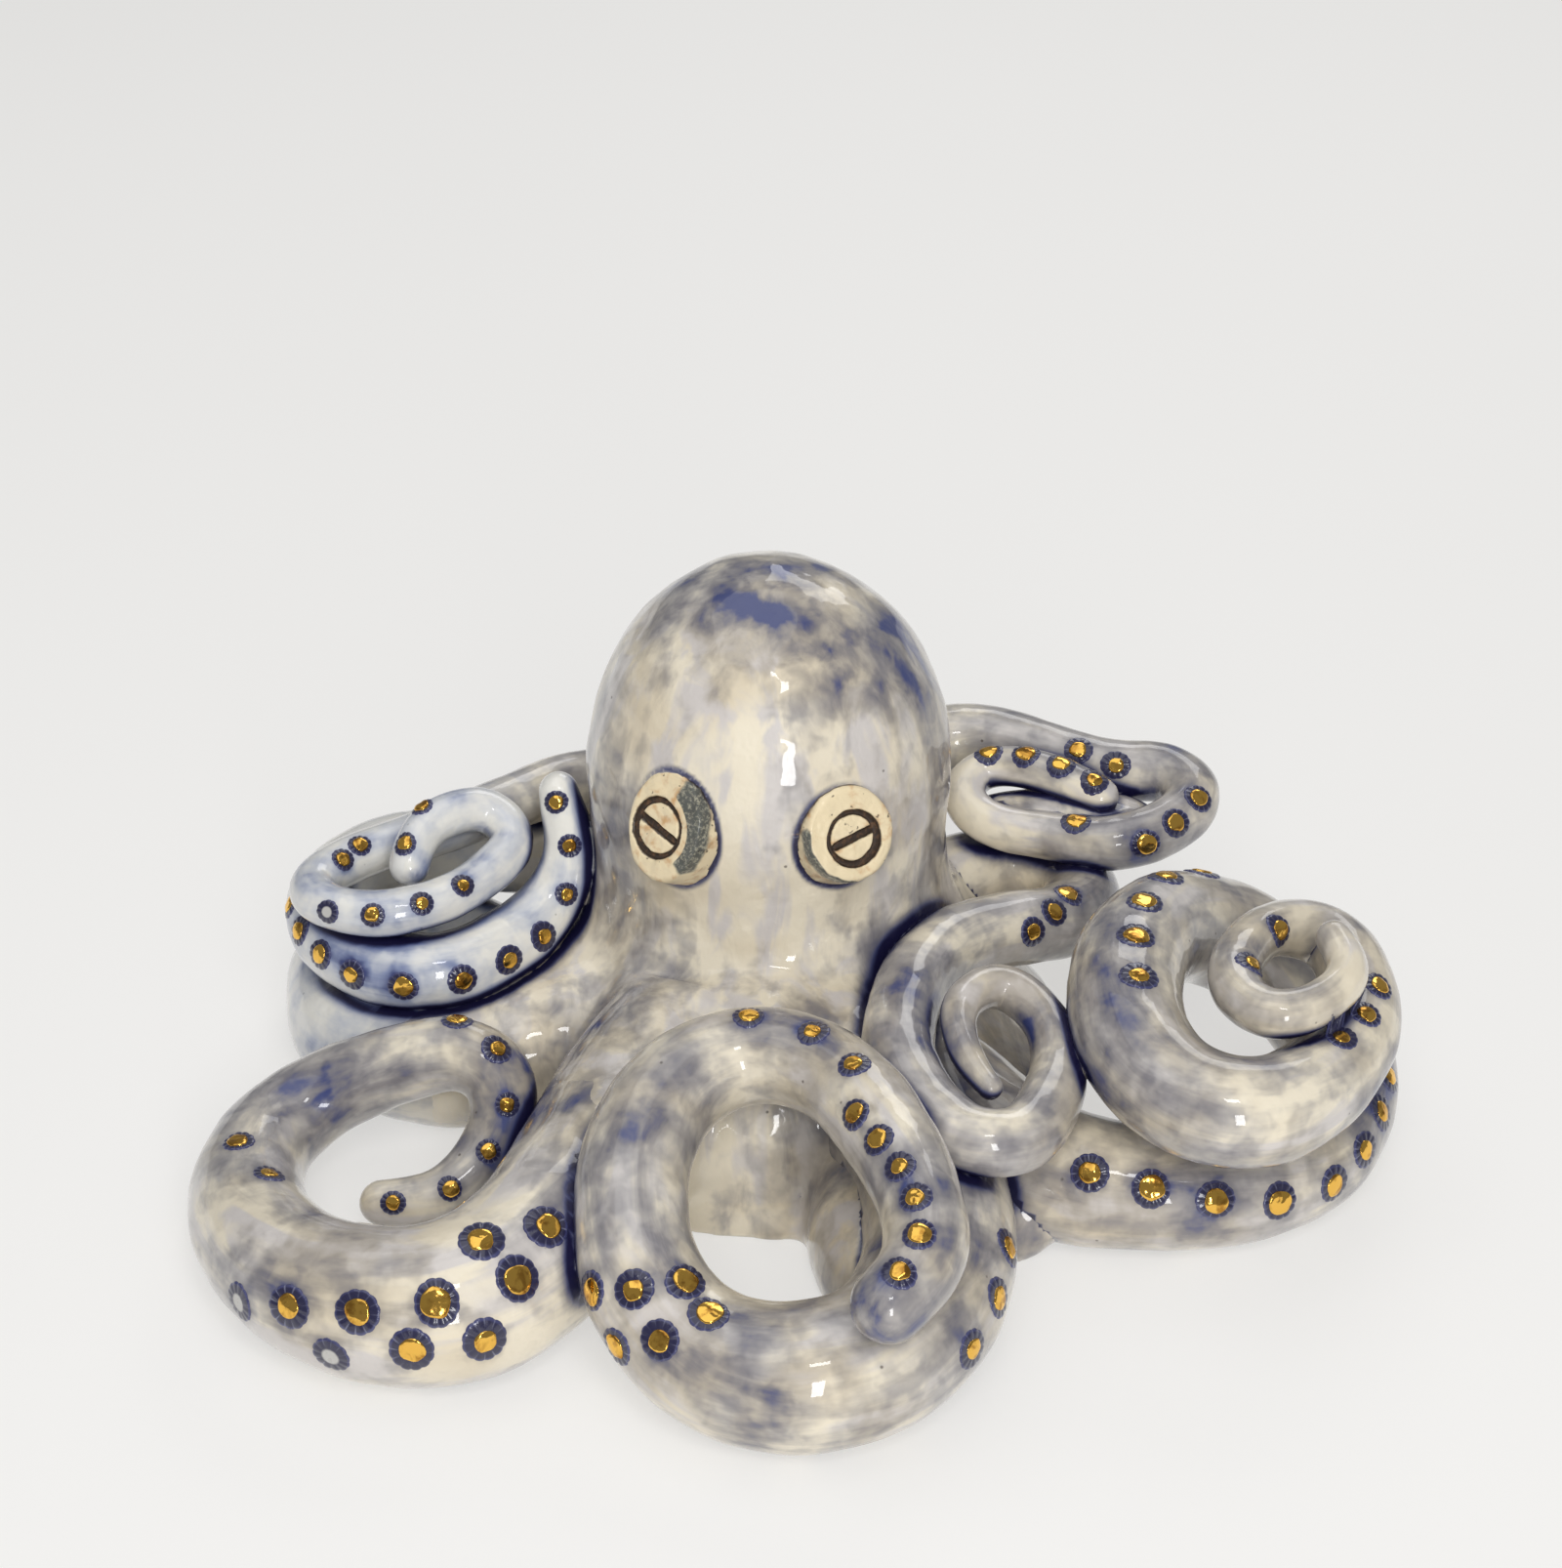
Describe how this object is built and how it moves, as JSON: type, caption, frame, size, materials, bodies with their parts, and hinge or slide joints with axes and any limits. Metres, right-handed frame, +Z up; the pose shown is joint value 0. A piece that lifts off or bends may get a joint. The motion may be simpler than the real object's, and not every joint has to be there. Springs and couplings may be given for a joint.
{
  "type": "octopus figurine",
  "caption": "Free-standing glazed ceramic octopus ornament with a domed head, raised eyes, and tapering arms coiled around its foot, carrying gilded rosette suckers.",
  "frame": {"origin": "centre of the body's flat round foot, on the table", "axes": "+Z up, the face looks along -Y, +X to the right of someone facing it"},
  "size_m": [0.2774, 0.2289, 0.1269],
  "materials": {
    "body_glaze": "glossy clear glaze over cobalt-washed clay",
    "arm_glaze": "glossy clear glaze over cobalt-washed clay",
    "sucker_glaze": "glossy cobalt blue glaze",
    "gold_lustre": "fired gold lustre",
    "eye_glaze": "glossy clear glaze over cream clay",
    "iron_oxide": "dark iron oxide inlay"
  },
  "bodies": {
    "root": {"mantle": "body_glaze", "left_arm": "arm_glaze", "front_left_arm": "arm_glaze", "rear_left_arm": "arm_glaze", "back_left_arm": "arm_glaze", "front_arm": "arm_glaze", "front_right_arm": "arm_glaze", "right_arm": "arm_glaze", "back_right_arm": "arm_glaze", "front_left_arm_suckers": "sucker_glaze", "front_left_arm_gold": "gold_lustre", "rear_left_arm_suckers": "sucker_glaze", "rear_left_arm_gold": "gold_lustre", "back_left_arm_suckers": "sucker_glaze", "back_left_arm_gold": "gold_lustre", "front_arm_suckers": "sucker_glaze", "front_arm_gold": "gold_lustre", "front_right_arm_suckers": "sucker_glaze", "front_right_arm_gold": "gold_lustre", "right_arm_suckers": "sucker_glaze", "right_arm_gold": "gold_lustre", "back_right_arm_suckers": "sucker_glaze", "back_right_arm_gold": "gold_lustre", "left_eye_boss": "eye_glaze", "left_eye_ring": "iron_oxide", "left_eye_slit": "iron_oxide", "right_eye_boss": "eye_glaze", "right_eye_ring": "iron_oxide", "right_eye_slit": "iron_oxide"}
  },
  "joints": []
}
